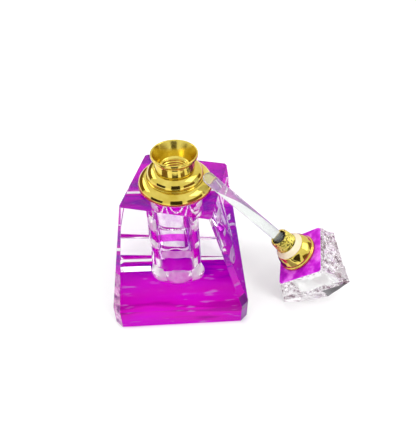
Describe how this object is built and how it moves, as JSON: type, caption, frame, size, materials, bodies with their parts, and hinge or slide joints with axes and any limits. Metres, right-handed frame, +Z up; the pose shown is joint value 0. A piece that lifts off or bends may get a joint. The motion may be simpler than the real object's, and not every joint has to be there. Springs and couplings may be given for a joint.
{
  "type": "perfume oil bottle",
  "caption": "Small crystal perfume oil bottle: a twisted square block with a coloured underside and gilt screw collar, its crystal-headed stopper and glass applicator rod leaning beside it.",
  "frame": {"origin": "centre of the underside of the block, on the surface that the bottle stands on", "axes": "+Z up the bottle's axis, +X towards the side where the stopper leans, +Y away from the face seen first, parallel to the foot's sides"},
  "size_m": [0.069, 0.04, 0.05],
  "materials": {
    "crystal": "clear polished crystal glass",
    "ice_crystal": "clear crystal with hammered sides",
    "rod_glass": "clear drawn glass",
    "colour_coat": "magenta lacquer seen through the glass",
    "gilt": "polished gold plating",
    "gilt_thread": "gold plating over a fine crinkled thread",
    "seal": "translucent sealing plastic",
    "cement": "dark set cement"
  },
  "bodies": {
    "bottle": {"glass_block": "crystal", "base_coat": "colour_coat", "collar_gasket": "seal", "collar_flange": "gilt", "collar_bead": "gilt", "collar_mouth": "gilt"},
    "washer": {"seal_washer": "seal"},
    "stopper": {"stopper_block": "ice_crystal", "stopper_coat": "colour_coat", "stopper_bell": "gilt", "stopper_screw": "gilt_thread", "rod_bush": "cement", "applicator_rod": "rod_glass"}
  },
  "joints": [
    {"name": "stopper_lift", "type": "slide", "parent": "bottle", "child": "washer", "axis": [0, 0, 1], "range_m": [0, 0.06]},
    {"name": "stopper_turn", "type": "hinge", "parent": "washer", "child": "stopper", "pos_m": [0.03285, -0.0064, 0.01951], "axis": [-0.686, 0.036, 0.7267], "continuous": true}
  ]
}
